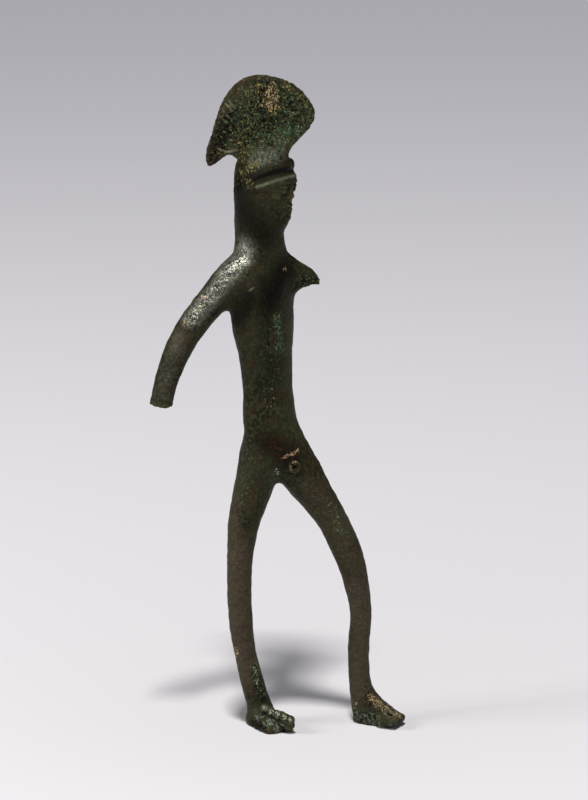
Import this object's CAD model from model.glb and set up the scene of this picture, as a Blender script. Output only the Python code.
import math

import bpy
import numpy as np
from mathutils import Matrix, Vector


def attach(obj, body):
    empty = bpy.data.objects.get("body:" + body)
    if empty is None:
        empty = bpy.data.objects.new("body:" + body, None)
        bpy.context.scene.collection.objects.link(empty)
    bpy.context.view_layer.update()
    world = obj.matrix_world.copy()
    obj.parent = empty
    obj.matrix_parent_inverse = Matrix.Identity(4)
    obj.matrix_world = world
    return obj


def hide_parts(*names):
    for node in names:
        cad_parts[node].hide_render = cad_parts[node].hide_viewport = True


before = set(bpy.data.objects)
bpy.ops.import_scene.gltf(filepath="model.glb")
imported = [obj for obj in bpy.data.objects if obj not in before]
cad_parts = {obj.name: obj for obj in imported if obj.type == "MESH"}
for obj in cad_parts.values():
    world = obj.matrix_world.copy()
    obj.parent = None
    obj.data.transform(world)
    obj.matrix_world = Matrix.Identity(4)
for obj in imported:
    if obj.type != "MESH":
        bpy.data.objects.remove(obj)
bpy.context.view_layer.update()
MM = 0.001

# %% [markdown]
# ## The camera
# The photograph looks down a little, from the figure's front right. A long lens keeps the thin
# limbs undistorted, so the camera stands a metre away and sees a field only 22 cm high.
# An empty or a constraint could aim it. Working out its turn once is simpler and stays put.
# %% Camera
CAMERA_AIM = Vector((6.917, 1.684, 91.4)) * MM
CAMERA_AZIMUTH = math.radians(-45)
CAMERA_ELEVATION = math.radians(11)
CAMERA_DISTANCE = 1.0
LENS = 165.69

towards_camera = Vector((
    math.sin(CAMERA_AZIMUTH) * math.cos(CAMERA_ELEVATION),
    -math.cos(CAMERA_AZIMUTH) * math.cos(CAMERA_ELEVATION),
    math.sin(CAMERA_ELEVATION),
))
bpy.ops.object.camera_add(location=CAMERA_AIM + towards_camera * CAMERA_DISTANCE)
camera = bpy.context.object
camera.rotation_mode = "QUATERNION"
camera.rotation_quaternion = towards_camera.to_track_quat("Z", "Y")
camera.data.lens = LENS
camera.data.clip_start = 0.01
camera.data.clip_end = 20
bpy.context.scene.camera = camera
print("camera at", camera.location)

# %% [markdown]
# ## Nodes by name
# Every finish below is a small tree of nodes. A helper that adds one node, sets its numbers and
# plugs its inputs keeps such a tree as short to read as a recipe.
# %% Helpers for materials
def colour(red, green, blue):
    """A colour picked as 0 to 255 on a screen, as the linear numbers that Blender works with."""
    parts = [c / 255 for c in (red, green, blue)]
    linear = [c / 12.92 if c < 0.04045 else ((c + 0.055) / 1.055) ** 2.4 for c in parts]
    return (*linear, 1.0)


def add_node(tree, kind, settings=None, **inputs):
    """Adds a node. An input is a number, a colour, or an output socket of another node."""
    node = tree.nodes.new(kind)
    for name, value in (settings or {}).items():
        setattr(node, name, value)
    for name, value in inputs.items():
        socket = node.inputs[int(name[1:])] if name[1:].isdigit() else node.inputs[name.replace("_", " ")]
        if isinstance(value, bpy.types.NodeSocket):
            tree.links.new(value, socket)
        else:
            socket.default_value = value
    return node


def blend_colours(tree, amount, under, over, way="MIX"):
    mix = add_node(tree, "ShaderNodeMix", {"data_type": "RGBA", "blend_type": way}, i0=amount, i6=under, i7=over)
    return mix.outputs[2]


def calculate(tree, way, first, second=0.0, clamp=False):
    return add_node(tree, "ShaderNodeMath", {"operation": way, "use_clamp": clamp}, i0=first, i1=second).outputs[0]


def ramp(tree, value, low, high, to_low=0.0, to_high=1.0):
    """Runs smoothly from to_low to to_high while the value runs from low to high."""
    node = add_node(tree, "ShaderNodeMapRange", {"interpolation_type": "SMOOTHSTEP"},
                    i0=value, i1=low, i2=high, i3=to_low, i4=to_high)
    return node.outputs[0]


# %% [markdown]
# ## The table it stands on
# The figure stands on pale paper that darkens away from it. Its grey is painted by the distance from
# the figure, and a little darker right under the main lamp. The paper turns up at its far edge, so
# that a low camera sees no dark gap behind it.
# %% Paper floor
PAPER_RADIUS = 6.0
FAR_GREY = colour(156, 155, 161)
KEY_SPOT = (-0.5, -0.41, 0)


def paper():
    finish = bpy.data.materials.new("pale_paper")
    finish.use_nodes = True
    tree = finish.node_tree
    surface = tree.nodes["Principled BSDF"]
    place = add_node(tree, "ShaderNodeTexCoord").outputs["Object"]
    away = add_node(tree, "ShaderNodeVectorMath", {"operation": "LENGTH"}, i0=place).outputs["Value"]
    grey = blend_colours(tree, ramp(tree, away, 0.3, 2.5), colour(233, 231, 235), colour(220, 219, 225))
    from_spot = add_node(tree, "ShaderNodeVectorMath", {"operation": "DISTANCE"}, i0=place, i1=KEY_SPOT)
    grey = blend_colours(tree, ramp(tree, from_spot.outputs["Value"], 0.6, 0.0), grey, colour(176, 175, 179))
    tree.links.new(grey, surface.inputs["Base Color"])
    far = calculate(tree, "SUBTRACT", 1.0, calculate(tree, "POWER", 0.16, away))
    glow = blend_colours(tree, far, colour(0, 0, 0), FAR_GREY)
    tree.links.new(glow, surface.inputs["Emission Color"])
    surface.inputs["Emission Strength"].default_value = 1.0
    surface.inputs["Roughness"].default_value = 0.9
    surface.inputs["Specular IOR Level"].default_value = 0.1
    return finish


bpy.ops.mesh.primitive_circle_add(vertices=96, radius=PAPER_RADIUS, fill_type="NGON", location=(0, 0, 0))
floor = bpy.context.object
floor.name = "paper_floor"
floor.data.materials.append(paper())

WALL_HEIGHT = 1.2
bpy.ops.mesh.primitive_circle_add(vertices=96, radius=PAPER_RADIUS, fill_type="NOTHING", location=(0, 0, 0))
wall = bpy.context.object
wall.name = "paper_wall"
bpy.ops.object.mode_set(mode="EDIT")
bpy.ops.mesh.select_all(action="SELECT")
bpy.ops.mesh.extrude_edges_move(TRANSFORM_OT_translate={"value": (0, 0, WALL_HEIGHT)})
bpy.ops.object.mode_set(mode="OBJECT")
far_paper = bpy.data.materials.new("far_paper")
far_paper.use_nodes = True
far_surface = far_paper.node_tree.nodes["Principled BSDF"]
far_surface.inputs["Base Color"].default_value = (0, 0, 0, 1)
far_surface.inputs["Roughness"].default_value = 1.0
far_surface.inputs["Specular IOR Level"].default_value = 0.0
far_surface.inputs["Emission Color"].default_value = FAR_GREY
far_surface.inputs["Emission Strength"].default_value = 1.0
wall.data.materials.append(far_paper)
wall.visible_diffuse = False
wall.visible_glossy = False
print("floor across", 2 * PAPER_RADIUS, "m, wall", WALL_HEIGHT, "m high")

# %% [markdown]
# ## Soft studio light
# One large soft box stands high on the figure's right and lights the shoulder, the crest and the
# left edges of both legs. A second, weaker and cooler one fills the other side. A panel behind shows
# the back, and shines on the figure alone so that the paper's shadows stay. The rest is an even grey.
# %% Lights
def soft_box(name, direction, distance, size, power, tint):
    """A square area light that stands that far off in a direction and looks at the figure."""
    away = Vector(direction).normalized()
    bpy.ops.object.light_add(type="AREA", location=CAMERA_AIM + away * distance)
    lamp = bpy.context.object
    lamp.name = name
    lamp.rotation_mode = "QUATERNION"
    lamp.rotation_quaternion = away.to_track_quat("Z", "Y")
    lamp.data.size = size
    lamp.data.energy = power
    lamp.data.color = tint
    return lamp


soft_box("key_light", (-0.33, -0.275, 0.90), 1.5, 0.2, 21, (1.0, 0.985, 0.96))
soft_box("left_panel", (-0.77, 0.42, 0.44), 1.2, 0.45, 5.6, (1.0, 1.0, 1.0))
right_panel = soft_box("right_panel", (0.9, -0.5, 0.35), 1.4, 0.6, 0.4, (0.88, 0.94, 1.0))
right_panel.visible_glossy = False
right_panel.data.use_shadow = False

back_panel = soft_box("back_panel", (0.6, 0.75, 0.4), 1.4, 0.8, 26.0, (1.0, 1.0, 1.0))
back_panel.visible_glossy = False

surround = bpy.context.scene.world or bpy.data.worlds.new("surround")
bpy.context.scene.world = surround
surround.use_nodes = True
surround.node_tree.nodes["Background"].inputs["Color"].default_value = colour(205, 205, 212)
surround.node_tree.nodes["Background"].inputs["Strength"].default_value = 0.04
bpy.context.scene.view_settings.view_transform = "Standard"
bpy.context.scene.view_settings.look = "None"

# %% [markdown]
# ## The figure's wax
# The solid has flat facets one to three millimetres across. On the real bronze the surface flows.
# The copy is subdivided, which rounds the facets, and pushed out by the little that this shrinks.
# %% Copy and round the solid
def only(piece):
    """Leaves one piece selected and active, ready for an operator."""
    if bpy.context.object and bpy.context.object.mode != "OBJECT":
        bpy.ops.object.mode_set(mode="OBJECT")
    bpy.ops.object.select_all(action="DESELECT")
    piece.select_set(True)
    bpy.context.view_layer.objects.active = piece
    return piece


def finish_with(piece, kind, **settings):
    """Adds a modifier with its settings and applies it."""
    only(piece)
    modifier = piece.modifiers.new(kind.lower(), kind)
    for name, value in settings.items():
        setattr(modifier, name, value)
    bpy.ops.object.modifier_apply(modifier=modifier.name)


figure = bpy.data.objects.new("bronze_warrior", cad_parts["warrior_figure"].data.copy())
bpy.context.scene.collection.objects.link(figure)
figure.data.materials.clear()
only(figure)
bpy.ops.object.mode_set(mode="EDIT")
bpy.ops.mesh.select_all(action="SELECT")
bpy.ops.mesh.remove_doubles(threshold=0.001 * MM)
bpy.ops.object.mode_set(mode="OBJECT")
finish_with(figure, "SUBSURF", levels=2, render_levels=2)
finish_with(figure, "DISPLACE", strength=0.12 * MM, mid_level=0)
print("rounded wax:", len(figure.data.vertices), "points")

# %% [markdown]
# ## Small forms pressed on in wax
# The brim, the eyes and the small ring at the groin are pellets and rolls of wax in their own right.
# Each is a primitive, placed and stretched, then joined to the body. The remesh below melts them in.
# %% Places on the turned head
HEAD_AXIS = Vector((-0.30, 6.00, 0)) * MM
HEAD_TURN = math.radians(15)
BROW_HEIGHT = 152.6
LEFT = Vector((math.cos(HEAD_TURN), math.sin(HEAD_TURN), 0))
AHEAD = Vector((math.sin(HEAD_TURN), -math.cos(HEAD_TURN), 0))


def on_head(to_left, ahead, up):
    """A place on the head in millimetres: to its own left, ahead of its axis, and above the floor."""
    return HEAD_AXIS + (LEFT * to_left + AHEAD * ahead + Vector((0, 0, up))) * MM


# %% Pellets and rolls
pellets = []


def pellet(place, sizes, turn=HEAD_TURN, tilt=0.0):
    """A ball of wax with half sizes across, deep and tall, in millimetres."""
    bpy.ops.object.select_all(action="DESELECT")
    bpy.ops.mesh.primitive_uv_sphere_add(segments=24, ring_count=16, radius=1, location=place, rotation=(tilt, 0, turn))
    ball = bpy.context.object
    ball.scale = [size * MM for size in sizes]
    bpy.ops.object.transform_apply()
    pellets.append(ball)
    return ball


def roll(place, across, thick, turn, tilt):
    """A ring of wax: half width and thickness, in millimetres."""
    bpy.ops.object.select_all(action="DESELECT")
    bpy.ops.mesh.primitive_torus_add(
        major_segments=48, minor_segments=12, major_radius=across * MM, minor_radius=thick * MM,
        location=place, rotation=(tilt, 0, turn),
    )
    bpy.ops.object.transform_apply()
    pellets.append(bpy.context.object)
    return pellets[-1]


# %% The helmet's brim
BRIM_ACROSS = 6.0
BRIM_AHEAD = 7.5


def on_brim(step, out, front, fall):
    """A place round the brim, 9.5 degrees a step: its height in front and its fall towards the back."""
    turn = math.radians(step * 9.5)
    ahead = (BRIM_AHEAD + out) * math.cos(turn)
    height = front - fall * (BRIM_AHEAD + out - ahead)
    return on_head((BRIM_ACROSS + out) * math.sin(turn), ahead, height), HEAD_TURN + turn


ROLL = (0.0, 156.6, 0.42)
LIP = (0.9, 153.5, 0.37)
for step in range(-9, 10):
    place, turn = on_brim(step, *ROLL)
    pellet(place, (1.5, 1.1, 1.6), turn=turn)
for step in range(-18, 19):
    place, turn = on_brim(step / 2, *LIP)
    pellet(place, (0.9, 0.75, 0.42), turn=turn)

# %% A calm, plain face
for side in (-1, 1):
    side_turn = HEAD_TURN + side * 0.3
    pellet(on_head(side * 2.4, 7.6, BROW_HEIGHT - 2.5), (1.15, 0.85, 0.62), turn=side_turn)
    pellet(on_head(side * 2.4, 7.9, BROW_HEIGHT - 1.85), (1.5, 0.75, 0.36), turn=side_turn)
    pellet(on_head(side * 2.4, 7.75, BROW_HEIGHT - 3.2), (1.35, 0.7, 0.3), turn=side_turn)
    pellet(on_head(side * 2.3, 8.1, BROW_HEIGHT - 0.75), (1.9, 0.8, 0.42), turn=side_turn)
    pellet(on_head(side * 0.95, 8.1, BROW_HEIGHT - 4.75), (0.62, 0.75, 0.55))
    pellet(on_head(side * 3.2, 6.3, BROW_HEIGHT - 4.6), (1.5, 0.95, 1.2), turn=side_turn)
pellet(on_head(0, 8.4, BROW_HEIGHT - 2.6), (0.62, 0.75, 2.4))
pellet(on_head(0, 8.6, BROW_HEIGHT - 4.5), (0.85, 0.9, 0.75))
pellet(on_head(0, 8.0, BROW_HEIGHT - 7.15), (1.6, 0.75, 0.42))
pellet(on_head(0, 7.9, BROW_HEIGHT - 8.1), (1.35, 0.75, 0.46))
pellet(on_head(0, 7.1, BROW_HEIGHT - 10.3), (1.6, 1.0, 1.2))

# %% Ring and toe knuckles
KNUCKLES = (
    ((-4.1, 2.1, 6.9), 1.15), ((-3.5, 0.4, 6.3), 1.15), ((-2.6, -1.4, 5.6), 1.2), ((-1.5, -3.0, 4.9), 1.2),
    ((-0.6, -4.3, 4.0), 1.4),
)
RING = (0.1, -5.45, 74.9)
roll(Vector(RING) * MM, 1.3, 0.5, turn=-math.pi / 4, tilt=math.pi / 2)
pellet(Vector(RING) * MM + Vector((0.4, 0.6, 0)) * MM, (1.3, 1.1, 1.3), turn=-math.pi / 4)
for place, size in KNUCKLES:
    pellet(Vector(place) * MM, (size, size, size))
    pellet((Vector(place) + Vector((0.5, 0.7, -1.6))) * MM, (size, size * 1.1, size))

# %% The broken wrist
WRIST = Vector((-26.7, 18.6, 92.3)) * MM
WRIST_WAY = Vector((0, 0.12, -0.99))
pellet(WRIST + Vector((0, 0, 0.8)) * MM, (3.0, 3.05, 3.5), turn=0)

only(figure)
for piece in pellets:
    piece.select_set(True)
bpy.ops.object.join()
bpy.ops.object.mode_set(mode="EDIT")
bpy.ops.mesh.select_mode(type="FACE")
bpy.ops.mesh.select_all(action="DESELECT")
bpy.ops.object.mode_set(mode="OBJECT")
for face in figure.data.polygons:
    face.select = (face.center - WRIST).length < 6 * MM
bpy.ops.object.mode_set(mode="EDIT")
bpy.ops.mesh.bisect(plane_co=WRIST, plane_no=WRIST_WAY, use_fill=True, clear_outer=True)
bpy.ops.object.mode_set(mode="OBJECT")
print("with pellets:", len(figure.data.vertices), "points")

# %% [markdown]
# ## One skin
# A voxel remesh casts wax, brim, eyes and ring into one closed skin of even little squares, fine
# enough to carry grains. It leaves steps, and one pass of a smooth modifier softens them.
# %% Remesh
SKIN_GRAIN = 0.31
finish_with(figure, "REMESH", mode="VOXEL", voxel_size=SKIN_GRAIN * MM, adaptivity=0)
finish_with(figure, "SMOOTH", factor=0.5, iterations=1)
print("skin:", len(figure.data.polygons), "squares")

# %% [markdown]
# ## Brush strokes
# Tool marks, grains and colours all have their own places. A place is a list of points with a
# radius, as a brush stroke is. Its strength is 1 along the line and falls to 0 at the radius.
# %% Strokes
def skin_points(piece):
    spots = np.empty(len(piece.data.vertices) * 3)
    piece.data.vertices.foreach_get("co", spots)
    return spots.reshape(-1, 3) / MM


def skin_normals(piece):
    ways = np.empty(len(piece.data.vertices) * 3)
    piece.data.vertices.foreach_get("normal", ways)
    return ways.reshape(-1, 3)


def move_skin(piece, spots):
    piece.data.vertices.foreach_set("co", (spots * MM).ravel())
    piece.data.update()


def stroke(spots, radius, *places):
    """1 along the line through the places, falling smoothly to 0 at the radius, in millimetres."""
    line = [np.array(place, float) for place in places]
    if len(line) == 1:
        line = line * 2
    nearest = np.full(len(spots), np.inf)
    for start, end in zip(line, line[1:]):
        along = end - start
        share = np.clip(((spots - start) @ along) / max(along @ along, 1e-9), 0, 1)
        nearest = np.minimum(nearest, np.linalg.norm(spots - start - share[:, None] * along, axis=1))
    rise = np.clip(1 - nearest / radius, 0, 1)
    return rise * rise * (3 - 2 * rise)


def painted(spots, strokes):
    """Many strokes of one brush: each is a strength, a radius and its places."""
    most = np.zeros(len(spots))
    for strength, radius, *places in strokes:
        most = np.maximum(most, strength * stroke(spots, radius, *places))
    return most


def group_of(piece, name, strokes):
    """A vertex group of the piece, as strong as the strokes are."""
    strength = painted(skin_points(piece), strokes)
    group = piece.vertex_groups.new(name=name)
    for index in np.flatnonzero(strength > 0.01):
        group.add([int(index)], float(strength[index]), "REPLACE")
    return group.name


# %% [markdown]
# ## Smooth limbs, crisp edges
# The limbs want more smoothing. The brim's lip, the face, the toes and the two breaks would melt
# under it, so a vertex group holds it off them.
# %% Smooth
LIP_LINE = [tuple(on_brim(step, *LIP)[0] / MM) for step in range(-9, 10)]
RAGGED = (
    (1.0, 4.6, (-26.7, 18.6, 92.4)),
    (1.0, 3.6, (6.5, -0.5, 121.6), (10.0, -0.8, 122.0), (13.6, -1.5, 124.2)),
)
CRISP = (
    (0.9, 2.0, *LIP_LINE),
    (0.7, 5.5, tuple(on_head(0, 7.0, 150) / MM), tuple(on_head(0, 7.0, 145) / MM)),
    *((0.6, 2.4, place) for place, size in KNUCKLES),
    (0.8, 2.6, RING),
    *RAGGED,
)
finish_with(
    figure, "SMOOTH", factor=0.5, iterations=4, vertex_group=group_of(figure, "crisp", CRISP),
    invert_vertex_group=True,
)

# %% [markdown]
# ## Tool marks
# Grooves and low swellings are pressed with a tool while the wax is soft: the line down the trunk,
# the spine, the gaps between the toes. Each is a stroke that moves the skin in or out.
# %% Press the wax
TOOL_MARKS = (
    (-0.28, 1.0, (-3.8, 0.9, 114.5), (-3.5, 0.8, 108.0)),
    (-0.15, 1.1, (-3.5, 0.8, 108.0), (-3.8, 0.5, 98.5), (-4.5, -0.2, 88.0)),
    (-0.45, 4.0, (-3.5, -1.2, 81.0), (-0.5, -3.0, 80.0)),
    (-0.5, 0.8, tuple(np.subtract(RING, (0.2, 0.2, 0)))),
    (-1.1, 3.5, (-5.4, 8.0, 2.0), (-5.8, 2.5, 2.0)),
    (-0.6, 3.0, (24.5, -23.5, 0.3), (21.0, -21.5, 0.3)),
    (-0.32, 0.7, (23.3, -19.0, 4.3), (23.6, -22.8, 2.4)),
    (-0.32, 0.7, (24.9, -18.8, 4.4), (25.2, -22.0, 2.4)),
    (-0.32, 0.7, (26.4, -18.6, 4.2), (26.8, -21.8, 2.0)),
    (-0.3, 0.6, (27.8, -18.0, 3.4), (28.2, -21.0, 1.4)),
    (-0.25, 0.6, tuple(on_head(-1.4, 8.4, BROW_HEIGHT - 7.6) / MM), tuple(on_head(1.4, 8.4, BROW_HEIGHT - 7.6) / MM)),
    (-0.45, 2.0, (1.4, 13.3, 131.0), (1.2, 13.0, 116.0), (1.0, 11.9, 108.0), (0.8, 10.7, 100.0), (0.8, 10.2, 88.0)),
    (0.45, 3.6, (-3.6, 13.0, 126.0), (-2.6, 13.0, 119.0)),
    (0.45, 3.6, (6.0, 12.1, 126.0), (5.0, 12.4, 119.0)),
    (-0.9, 1.8, (1.6, 10.1, 81.0), (1.8, 10.1, 76.0), (2.0, 9.0, 70.0)),
)
spots = skin_points(figure)
ways = skin_normals(figure)
for depth, radius, *places in TOOL_MARKS:
    spots += ways * depth * stroke(spots, radius, *places)[:, None]
FRONT_TOES = stroke(spots, 5.0, (22.5, -23.5, 0.5), (28.0, -22.0, 0.5))
FRONT_TOES_MOVE = (-0.6, 0.6, 1.2)
spots += FRONT_TOES[:, None] * FRONT_TOES_MOVE
move_skin(figure, spots)
print(len(TOOL_MARKS), "tool marks")

# %% [markdown]
# ## Grains, pits and broken ends
# A cast surface is never even. Soft clouds move the skin in and out by a fifth of a millimetre. Sharp
# grains stand up on the crest and the feet, and the two breaks are ragged. A displace modifier with
# a cloud or cell texture does that, held to its places by a vertex group.
# %% Relief
GRAINY = (
    (0.65, 14.0, (1.5, -5.0, 172.0), (-0.3, 0.5, 174.0), (-3.2, 11.3, 165.6)),
    (1.0, 7.0, (-0.8, 3.5, 175.0), (-1.1, 3.5, 168.2)),
    (0.8, 6.0, (-4.1, 14.9, 168.1), (-5.5, 20.1, 157.0)),
    (0.9, 4.5, (-6.5, 9.2, 157.5), (-7.0, 8.5, 151.0)),
    (0.8, 4.0, (-3.3, 11.9, 162.4), (-6.0, 8.0, 157.0)),
    (0.35, 7.0, (-1.5, 3.0, 160.0), (-6.5, 6.0, 156.0)),
    (0.4, 4.5, (-4.1, 1.9, 7.8), (-1.0, -4.0, 5.5)),
    (0.7, 3.5, (-4.0, 5.5, 17.0), (-1.2, 6.1, 9.0)),
    (0.6, 4.5, (21.0, -13.0, 8.0), (25.0, -21.0, 3.0)),
    (1.0, 3.5, (18.4, -8.4, 2.0), (23.0, -19.0, 1.0)),
    (1.0, 3.0, (-4.5, 8.0, 1.5), (-5.0, 2.0, 1.5)),
    (0.5, 3.0, (-14.5, 7.4, 124.8), (-17.4, 11.4, 121.7)),
    (0.4, 6.0, (-8.0, 5.5, 136.0), (-11.0, 6.5, 130.0), (-22.0, 13.0, 115.0)),
    (0.45, 5.0, (-6.3, 7.5, 157.0), (-6.8, 5.5, 152.5)),
    (0.5, 4.5, (7.0, 0.0, 123.0), (12.0, -0.7, 124.0)),
    (0.2, 9.0, (-2.0, 1.0, 126.0), (-6.0, 2.5, 117.0)),
)


def texture(name, kind, size):
    made = bpy.data.textures.new(name, kind)
    made.noise_scale = size * MM
    return made


def roughen(piece, pattern, height, strokes=()):
    """Moves the skin in and out by up to the height, in millimetres, in the strokes or everywhere."""
    where = group_of(piece, pattern.name, strokes) if strokes else ""
    finish_with(
        piece, "DISPLACE", texture=pattern, texture_coords="LOCAL", strength=2 * height * MM,
        mid_level=0.5, vertex_group=where,
    )


roughen(figure, texture("casting_waves", "CLOUDS", 7), 0.2)
roughen(figure, texture("casting_dents", "CLOUDS", 2.2), 0.12)
roughen(figure, texture("broken_metal", "CLOUDS", 1.3), 1.0, RAGGED)
roughen(figure, texture("lumps", "CLOUDS", 1.1), 0.42, GRAINY)
roughen(figure, texture("grains", "VORONOI", 0.8), 0.3, GRAINY)
figure.vertex_groups.clear()

# %% [markdown]
# ## A lighter mesh with flat soles
# The skin now has more triangles than it needs on the smooth limbs. Decimate keeps them where the
# relief is. Then every point that grains have pushed under the floor is set back on it.
# %% Decimate
MOST_TRIANGLES = 190000
finish_with(figure, "TRIANGULATE")
finish_with(figure, "DECIMATE", ratio=MOST_TRIANGLES / len(figure.data.polygons))
spots = skin_points(figure)
spots[:, 2] = np.maximum(spots[:, 2], 0)
move_skin(figure, spots)
only(figure)
bpy.ops.object.shade_smooth()
print("skin:", len(figure.data.polygons), "triangles, lowest point", spots[:, 2].min())

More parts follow.
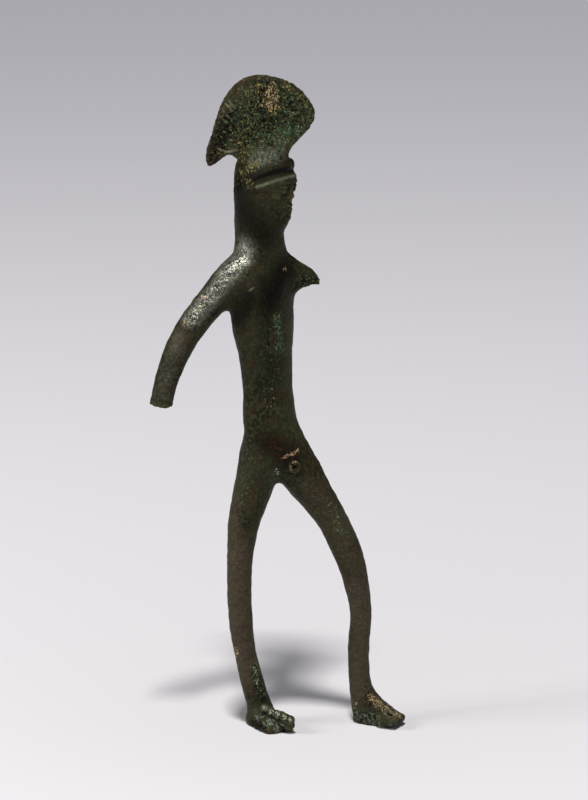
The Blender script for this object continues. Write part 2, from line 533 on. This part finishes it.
# %% [markdown]
# ## Colours by place
# The finish is uneven: crust on the feet, worn brown on the shins, a golden patch on the crest.
# Each mark says how much of the skin one kind covers, and is kept in the mesh under its name.
# %% Marks
MARKS = {
    "grainy": GRAINY,
    # Green corrosion.
    "green": (
        (0.5, 6.0, (-3.2, 11.8, 169.0), (-1.8, 6.4, 165.5)),
        (0.9, 6.0, (-1.5, 5.3, 165.0), (-0.3, 0.8, 164.0), (0.3, -2.5, 167.0)),
        (0.5, 4.0, (1.2, -4.8, 174.6)),
        (0.75, 15.0, (1.5, -5.0, 172.0), (-1.0, 2.0, 172.0), (-3.2, 11.3, 165.6)),
        (0.8, 4.0, (3.4, -7.8, 173.3), (3.0, -9.0, 171.1), (1.2, -4.8, 165.5)),
        (0.6, 6.0, (-2.3, 0.7, 159.2), (-5.0, 4.0, 158.0)),
        (0.9, 3.4, (-0.6, 0.5, 115.0), (0.0, 0.3, 106.5)),
        (0.3, 7.0, (-3.0, 1.0, 110.0), (-3.0, 0.5, 92.0)),
        (0.5, 3.0, (-15.5, 8.5, 125.5)),
        (0.5, 3.5, (-21.0, 12.5, 117.5)),
        (0.7, 2.5, (-26.6, 15.3, 101.0)),
        (0.3, 6.0, (-27.0, 15.6, 100.0)),
        (0.5, 4.0, (9.5, -9.9, 62.8), (13.0, -11.9, 56.0)),
        (0.9, 2.8, (-3.4, 6.6, 18.0), (-1.2, 6.1, 9.0)),
        (0.6, 4.5, (-4.1, 1.9, 7.0), (-1.5, -3.3, 4.5)),
        (0.8, 3.0, (-4.0, 1.0, 3.0), (-0.5, -3.5, 2.0)),
        (0.7, 3.0, (21.5, -17.0, 2.5), (24.0, -20.5, 1.8)),
        (0.9, 3.6, (19.5, -9.5, 3.5), (20.6, -12.5, 2.0), (21.5, -17.0, 1.2), (23.5, -21.5, 1.5), (26.0, -22.5, 1.8)),
        (0.5, 4.5, (8.0, 0.0, 124.0), (13.0, -1.0, 124.0)),
        (0.25, 8.0, (-8.5, 5.1, 66.0), (-8.0, 4.0, 76.0)),
        (0.5, 2.0, (-3.5, -1.4, 73.6), (-2.6, -1.8, 72.6)),
        (0.3, 9.0, (5.0, 12.0, 120.0), (3.0, 12.0, 100.0)),
        (0.4, 6.0, (1.0, 12.5, 84.0)),
    ),
    # Brown, on the worn limbs.
    "brown": (
        (0.4, 8.0, (6.0, -7.5, 67.0), (13.7, -11.9, 54.9), (16.0, -12.8, 43.5)),
        (0.75, 8.0, (17.0, -12.9, 39.0), (20.2, -12.6, 24.3), (19.4, -10.8, 9.9)),
        (1.0, 4.0, (21.7, -13.6, 8.0), (24.0, -17.9, 5.5), (25.4, -22.0, 3.0)),
        (0.75, 8.0, (-9.0, 7.3, 50.0), (-8.2, 8.2, 28.6), (-5.5, 8.5, 14.0)),
        (0.5, 4.0, (-10.0, 8.0, 65.0), (-10.0, 8.5, 50.0)),
        (0.4, 5.0, (-8.2, 3.2, 123.2), (-5.0, 2.0, 121.0)),
        (0.55, 3.5, (-23.7, 14.1, 112.0), (-24.5, 14.5, 108.0)),
        (0.8, 3.4, (-26.7, 18.6, 92.3)),
        (0.45, 10.0, (14.0, -2.0, 60.0), (21.0, -8.0, 30.0)),
        (0.4, 8.0, (2.0, 10.0, 60.0), (-4.0, 13.0, 30.0)),
    ),
    # Dark red brown in hollows and along the crest's edge.
    "rust": (
        (0.9, 1.0, (-3.3, 11.9, 177.1), (-2.5, 8.9, 178.9), (-1.1, 5.7, 179.8), (1.0, 2.9, 179.6), (1.9, -1.1, 178.5),
         (2.3, -5.2, 176.2), (3.4, -7.8, 173.3)),
        (0.7, 3.4, (-3.8, 13.6, 175.0), (-4.7, 17.0, 170.0), (-5.2, 19.0, 163.0)),
        (0.6, 3.0, (-5.4, 20.0, 160.0), (-5.5, 20.1, 157.0)),
        (0.6, 2.4, (-1.5, 5.0, 171.0), (-0.9, 2.9, 167.0)),
        (0.7, 6.5, (-4.5, -1.5, 81.0), (-1.0, -4.0, 79.0)),
        (0.3, 4.0, (2.4, -5.9, 72.0), (9.5, -9.9, 60.0)),
        (0.6, 2.6, (21.7, -13.6, 8.0), (24.0, -18.0, 5.5), (25.6, -21.5, 3.4)),
        (0.25, 5.0, (-8.5, 4.0, 120.0), (-6.0, 2.0, 118.0)),
    ),
    # Bare, rubbed metal, golden to tan.
    "tan": (
        (0.62, 3.6, (-0.8, 2.6, 175.8), (-0.7, 2.4, 172.2)),
        (0.3, 6.0, (-0.9, 3.4, 174.3)),
        (0.8, 0.9, (3.2, -7.2, 174.1)),
        (0.6, 2.2, (21.7, -13.6, 7.6), (22.9, -15.9, 6.3), (24.0, -17.9, 5.1), (25.0, -20.0, 3.9), (25.4, -22.0, 2.8)),
        (0.5, 1.6, (19.4, -9.9, 5.6)),
        (0.6, 1.2, (2.4, 0.6, 128.0)),
        (0.35, 2.0, (-17.4, 11.4, 121.7)),
        (0.45, 1.8, (-22.0, 13.6, 115.0)),
        (0.4, 1.6, (-7.0, 9.5, 22.5), (-6.7, 10.6, 20.5)),
        (0.05, 5.0, (-9.0, 5.0, 132.0), (-20.0, 12.0, 117.0)),
    ),
    # Straw coloured grains and scratches.
    "straw": (
        (0.14, 14.0, (1.5, -5.0, 172.0), (-0.3, 0.5, 174.0), (-3.2, 11.3, 165.6)),
        (0.25, 4.0, (-2.8, 10.0, 175.0), (-1.8, 6.0, 177.0)),
        (0.3, 4.0, (-3.0, 9.0, 167.0), (-3.3, 12.3, 161.5)),
        (0.42, 3.4, (-4.0, 11.0, 160.0), (-6.4, 6.7, 157.0), (-6.2, 4.0, 156.4)),
        (0.34, 3.0, (-6.8, 8.5, 155.0), (-6.8, 5.0, 151.5)),
        (0.3, 4.0, (-5.0, 18.0, 158.5)),
        (0.04, 4.5, (-3.0, 1.0, 124.0), (-5.5, 1.6, 118.0)),
    ),
    # Thin bare scratches.
    "scratch": (
        (0.8, 0.5, (-5.0, 18.3, 159.5), (-4.6, 16.4, 158.8), (-4.1, 14.6, 159.2), (-3.6, 12.8, 159.6)),
        (0.55, 0.45, (-4.5, 16.1, 171.8), (-4.0, 14.3, 170.0)),
        (0.5, 0.45, (-4.7, 17.0, 170.1), (-4.1, 14.9, 168.1)),
        (0.5, 0.45, (-4.9, 17.9, 168.5), (-4.4, 15.8, 166.7)),
        (0.45, 0.45, (-4.3, 15.2, 172.7), (-3.8, 13.4, 170.9)),
        (0.6, 0.5, (-7.2, 9.0, 23.5), (-6.6, 9.6, 21.5)),
        (0.6, 0.5, (-7.0, 9.6, 22.2), (-6.3, 10.2, 20.2)),
        (0.7, 0.42, (-8.3, 3.2, 123.2), (-7.4, 2.7, 123.8)),
        (0.7, 0.45, (-9.0, 6.3, 131.0), (-11.3, 6.4, 129.0), (-13.2, 6.9, 127.2), (-14.7, 7.6, 124.6)),
        (0.8, 0.45, (21.9, -14.3, 7.2), (22.6, -15.6, 6.4)),
        (1.0, 0.55, (23.2, -16.2, 6.1), (23.8, -17.8, 5.1)),
        (0.9, 0.5, (24.1, -18.9, 4.6), (24.3, -21.0, 3.3)),
        (0.7, 0.45, (22.3, -18.0, 4.2), (22.5, -20.6, 3.6)),
        (0.7, 0.45, (25.6, -19.0, 4.4), (25.9, -20.9, 3.2)),
        (0.7, 0.45, (-15.8, 8.4, 121.6), (-17.9, 10.4, 119.7), (-19.8, 11.9, 117.9)),
        (0.4, 0.4, (-7.2, 6.0, 135.8), (-8.6, 5.9, 133.0)),
        (0.6, 0.4, (0.0, -5.6, 75.8), (0.9, -5.8, 76.3)),
    ),
    # Bare metal, smooth and tan.
    "bare": (
        (1.0, 1.1, (-2.2, -3.7, 77.6), (-0.9, -4.4, 78.1), (0.8, -4.9, 78.6), (1.6, -5.0, 79.2)),
        (0.7, 0.7, (-0.6, -5.4, 76.3), (0.4, -6.1, 76.5)),
        (0.6, 0.7, (-1.2, -4.9, 75.4), (-1.0, -5.0, 74.4)),
        (0.6, 1.5, (21.9, -14.2, 7.4), (22.9, -15.9, 6.3)),
    ),
    # Chalky bumps of crust.
    "chalk": (
        *((0.9, 1.1, (x - 0.8, y - 0.8, z + 0.4)) for (x, y, z), size in KNUCKLES),
        (0.5, 1.0, (-3.2, 4.2, 7.3), (-1.8, 3.0, 6.4)),
        (0.4, 1.0, (-1.5, 1.6, 5.3), (-0.3, 0.2, 4.9)),
    ),
    # The brim's crisp lower edge.
    "lip": (
        (1.0, 0.6, *(tuple(on_brim(step, 1.6, 153.5, 0.37)[0] / MM) for step in range(-8, 9))),
    ),
    # Whitish crust.
    "pale": (
        *((0.3, 1.6, (x - 0.8, y - 0.8, z + 0.1)) for (x, y, z), size in KNUCKLES),
        (0.4, 2.4, (-4.6, 4.5, 7.5), (-2.6, 3.4, 7.2), (-1.5, 1.8, 5.6)),
        (0.25, 1.3, (-3.6, 6.5, 17.0), (-2.4, 6.0, 12.0), (-1.2, 6.1, 9.0)),
        (0.5, 0.9, (23.9, -17.6, 6.0), (24.4, -19.0, 5.0), (25.0, -20.6, 3.8)),
        (0.16, 3.5, (-0.8, 2.6, 175.5), (-0.8, 2.4, 172.0)),
        (0.1, 3.0, (-1.9, -0.2, 158.8), (-6.0, 3.8, 157.2)),
        (0.7, 0.6, (-1.7, 0.6, 159.5)),
        (0.3, 1.0, (-3.6, -1.3, 74.4), (-2.6, -1.8, 73.4)),
    ),
    # Deep, nearly black skin.
    "dark": (
        (1.0, 9.0, (1.5, 0.6, 127.0), (-3.5, 1.0, 120.0)),
        (0.9, 6.0, (-8.2, 3.2, 121.0), (-10.0, 6.0, 115.0)),
        (0.9, 10.0, (-7.1, 8.1, 146.0), (-5.0, 2.0, 138.0)),
        (0.45, 9.0, (-3.8, 0.9, 114.0), (-4.0, 0.0, 98.0)),
        (0.6, 1.6, (-3.8, 0.9, 114.5), (-3.5, 0.8, 108.0)),
        (0.3, 2.0, (-3.5, 0.8, 108.0), (-3.6, 0.5, 96.0)),
        (0.5, 5.0, (9.0, -0.4, 124.5), (13.0, -1.0, 124.5)),
        (0.9, 7.0, (-4.7, -1.5, 81.0), (-1.0, -4.0, 78.0)),
        (0.8, 2.6, (-4.1, 14.9, 168.1), (-4.8, 17.3, 161.5)),
        (1.0, 2.2, *(tuple(on_brim(step, 1.1, 155.8, 0.4)[0] / MM) for step in range(-9, 10))),
        (0.8, 1.9, *(tuple(on_brim(step, 0.6, 157.4, 0.4)[0] / MM) for step in range(-9, 10))),
        (0.7, 1.2, *(tuple(on_brim(step, 1.3, 154.7, 0.4)[0] / MM) for step in range(-9, 10))),
        *((0.9, 0.7, tuple(np.add(first, second) / 2 - np.array((0.8, 0.8, 0.0))))
          for (first, _), (second, _) in zip(KNUCKLES, KNUCKLES[1:])),
        (0.8, 2.5, (-1.5, 5.0, 170.5), (-1.0, 3.0, 167.0)),
    ),
    # Dull grey green crust.
    "crust": (
        (0.6, 4.5, (-5.0, 6.0, 4.0), (-4.6, 1.5, 3.0), (-2.0, -3.0, 2.5)),
        (0.5, 1.8, (-4.9, 1.3, 6.9), (-3.4, -2.2, 5.6), (-1.4, -5.1, 4.0)),
        (0.35, 3.0, (21.5, -17.0, 2.5), (24.0, -20.5, 1.8)),
        (0.8, 3.8, (18.6, -8.6, 3.0), (20.4, -11.5, 1.8), (21.3, -16.0, 1.0), (23.0, -20.5, 0.8)),
        (0.4, 2.5, (22.5, -21.0, 1.2), (25.5, -22.8, 1.6)),
        (0.35, 3.0, (17.6, -7.0, 6.5), (18.4, -8.2, 3.5)),
        (0.45, 4.0, (11.0, -1.0, 123.5)),
        (0.22, 5.0, (-25.0, 14.8, 107.0), (-27.0, 16.5, 97.0)),
        (0.3, 3.0, (-4.0, 5.5, 17.0), (-2.0, 5.0, 9.0)),
    ),
    # Smooth skin that has been handled, greyish and glossy.
    "worn": (
        (1.0, 4.8, (-7.2, 6.0, 134.5), (-9.0, 5.5, 132.0), (-13.0, 7.5, 127.5)),
        (0.9, 4.0, (-14.0, 8.0, 125.5), (-18.0, 10.5, 120.0), (-21.0, 12.8, 116.0)),
        (0.1, 4.0, (-24.0, 14.5, 110.0), (-27.5, 16.5, 96.0)),
        (0.25, 5.0, (-1.7, 0.6, 159.5), (-5.5, 3.0, 158.0)),
        (0.35, 2.0, (22.6, -15.2, 7.2), (24.9, -20.0, 4.2)),
    ),
}
spots = skin_points(figure)
for name, strokes in MARKS.items():
    strength = painted(spots, strokes)
    figure.data.attributes.new(name, "FLOAT", "POINT").data.foreach_set("value", strength)
    print(f"{name}: {strength.mean():.3f} of the skin")

# %% [markdown]
# ## Raised and hollow places
# Hands rub the raised places bright, and dirt stays in the hollows. The skin is averaged with its
# neighbours a few times. Where a point stands above that average it is raised.
# %% Raised places
def averaged(piece, values, passes):
    """Every point takes the average of itself and its neighbours, some passes over."""
    ends = np.empty(len(piece.data.edges) * 2, int)
    piece.data.edges.foreach_get("vertices", ends)
    first, second = ends.reshape(-1, 2).T
    count = 1 + np.bincount(first, minlength=len(values)) + np.bincount(second, minlength=len(values))
    for _ in range(passes):
        total = values.copy()
        for axis in range(3):
            total[:, axis] += np.bincount(first, values[second, axis], len(values))
            total[:, axis] += np.bincount(second, values[first, axis], len(values))
        values = total / count[:, None]
    return values


above = ((spots - averaged(figure, spots, 8)) * skin_normals(figure)).sum(axis=1)
figure.data.attributes.new("raised", "FLOAT", "POINT").data.foreach_set("value", above)
print(f"raised by up to {above.max():.2f} mm, hollow by up to {-above.min():.2f} mm")

# %% [markdown]
# ## Patina
# Old bronze is not one colour. The base is a dark olive skin, mottled at a few scales. Over it lie
# green, brown, tan and pale layers in the marked places, broken up into grains so that no layer has
# a smooth edge.
# %% Patina
def patina():
    finish = bpy.data.materials.new("patinated_bronze")
    finish.use_nodes = True
    tree = finish.node_tree
    surface = tree.nodes["Principled BSDF"]
    place = add_node(tree, "ShaderNodeTexCoord").outputs["Object"]

    def noise(size, detail):
        return add_node(tree, "ShaderNodeTexNoise", Vector=place, Scale=1 / (size * MM), Detail=detail)

    def mark(name):
        return add_node(tree, "ShaderNodeAttribute", {"attribute_name": name}).outputs["Fac"]

    def times(first, second):
        return calculate(tree, "MULTIPLY", first, second)

    def covered(density, chance, softness=0.06):
        """1 where a chance from 0 to 1 is less than the density, so that the density is the share."""
        over = calculate(tree, "SUBTRACT", calculate(tree, "SUBTRACT", density, softness), chance)
        return ramp(tree, over, -softness, softness)

    grit, fine, middle, wide = (noise(size, detail).outputs["Fac"] for size, detail in
                                ((0.4, 2), (1.0, 3), (2.6, 4), (10, 3)))
    shake = add_node(tree, "ShaderNodeVectorMath", {"operation": "SUBTRACT"}, i0=noise(0.9, 2).outputs["Color"],
                     i1=(0.5, 0.5, 0.5)).outputs[0]
    shaken = add_node(tree, "ShaderNodeVectorMath", {"operation": "MULTIPLY_ADD"}, i0=shake,
                      i1=(MM, MM, MM), i2=place).outputs[0]
    cells = add_node(tree, "ShaderNodeTexVoronoi", Vector=shaken, Scale=1 / (0.4 * MM))
    lots = add_node(tree, "ShaderNodeSeparateColor", Color=cells.outputs["Color"]).outputs
    patches = ramp(tree, fine, 0.32, 0.68)

    grainy, raised, worn, dark = (mark(name) for name in ("grainy", "raised", "worn", "dark"))
    rough_skin = ramp(tree, grainy, 0.1, 0.8, 0.3, 1.0)

    tone = blend_colours(tree, ramp(tree, wide, 0.38, 0.62), colour(30, 31, 18), colour(50, 52, 34))
    tone = blend_colours(tree, ramp(tree, fine, 0.42, 0.66, 0, 0.65), tone, colour(68, 70, 48))
    tone = blend_colours(tree, ramp(tree, middle, 0.48, 0.6, 0, 0.5), tone, colour(58, 43, 27))
    tone = blend_colours(tree, times(mark("brown"), ramp(tree, fine, 0.3, 0.7, 0.82, 1.0)), tone, colour(84, 73, 60))
    tone = blend_colours(tree, times(worn, ramp(tree, fine, 0.35, 0.6, 0.45, 1.0)), tone, colour(152, 152, 142))
    tone = blend_colours(tree, times(dark, 0.96), tone, colour(9, 7, 3))
    tone = blend_colours(tree, covered(mark("rust"), patches, 0.38), tone, colour(58, 35, 21))
    tone = blend_colours(tree, covered(mark("green"), patches, 0.4), tone, colour(48, 72, 52))
    tone = blend_colours(tree, covered(times(mark("green"), 0.3), lots[0]), tone, colour(104, 120, 82))
    tone = blend_colours(tree, times(covered(0.45, lots[1]), rough_skin), tone, colour(14, 13, 8))
    tone = blend_colours(tree, times(mark("lip"), ramp(tree, fine, 0.3, 0.6, 0.4, 0.9)), tone, colour(112, 126, 102))
    tone = blend_colours(tree, covered(mark("crust"), patches, 0.3), tone, colour(116, 122, 110))
    rubbed = times(ramp(tree, raised, 0.06, 0.22, 0, 0.5), calculate(tree, "SUBTRACT", 1.0, dark))
    tone = blend_colours(tree, rubbed, tone, colour(92, 82, 58))
    straw = blend_colours(tree, lots[2], colour(62, 66, 36), colour(140, 126, 76))
    tone = blend_colours(tree, covered(mark("straw"), lots[0]), tone, straw)
    gold = blend_colours(tree, lots[1], colour(90, 68, 36), colour(216, 192, 144))
    tone = blend_colours(tree, covered(mark("tan"), lots[2]), tone, gold)
    tone = blend_colours(tree, covered(mark("pale"), lots[1]), tone, colour(178, 184, 164))
    tone = blend_colours(tree, times(mark("scratch"), 0.9), tone, colour(150, 146, 118))
    flecks = ramp(tree, grit, 0.3, 0.7)
    bare = blend_colours(tree, lots[0], colour(122, 92, 62), colour(188, 162, 128))
    tone = blend_colours(tree, covered(times(mark("bare"), 0.8), flecks, 0.12), tone, bare)
    chalk = blend_colours(tree, lots[0], colour(136, 144, 122), colour(196, 200, 186))
    tone = blend_colours(tree, covered(times(mark("chalk"), 0.9), flecks, 0.3), tone, chalk)
    tone = blend_colours(tree, ramp(tree, raised, -0.04, -0.16, 0, 0.85), tone, colour(12, 10, 6))
    tree.links.new(tone, surface.inputs["Base Color"])

    metal = calculate(tree, "MAXIMUM", times(covered(mark("tan"), lots[2]), 0.75), times(worn, 0.9))
    tree.links.new(metal, surface.inputs["Metallic"])
    gloss = calculate(tree, "ADD", ramp(tree, fine, 0.3, 0.7, 0.38, 0.54), times(grainy, 0.1))
    gloss = calculate(tree, "SUBTRACT", gloss, times(worn, 0.2))
    tree.links.new(gloss, surface.inputs["Roughness"])
    surface.inputs["Specular IOR Level"].default_value = 0.06
    height = calculate(tree, "ADD", times(grit, 0.5), fine)
    height = calculate(tree, "ADD", height, times(cells.outputs["Distance"], grainy))
    depth = times(ramp(tree, grainy, 0, 1, 0.5, 1.5), ramp(tree, worn, 0, 1, 1.0, 0.3))
    bump = add_node(tree, "ShaderNodeBump", Height=times(height, depth), Strength=1.0, Distance=0.7 * MM)
    tree.links.new(bump.outputs["Normal"], surface.inputs["Normal"])
    return finish


figure.data.materials.append(patina())
shone_on = bpy.data.collections.new("shone_on_from_behind")
shone_on.objects.link(figure)
back_panel.light_linking.receiver_collection = shone_on
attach(figure, "root")
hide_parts("warrior_figure")
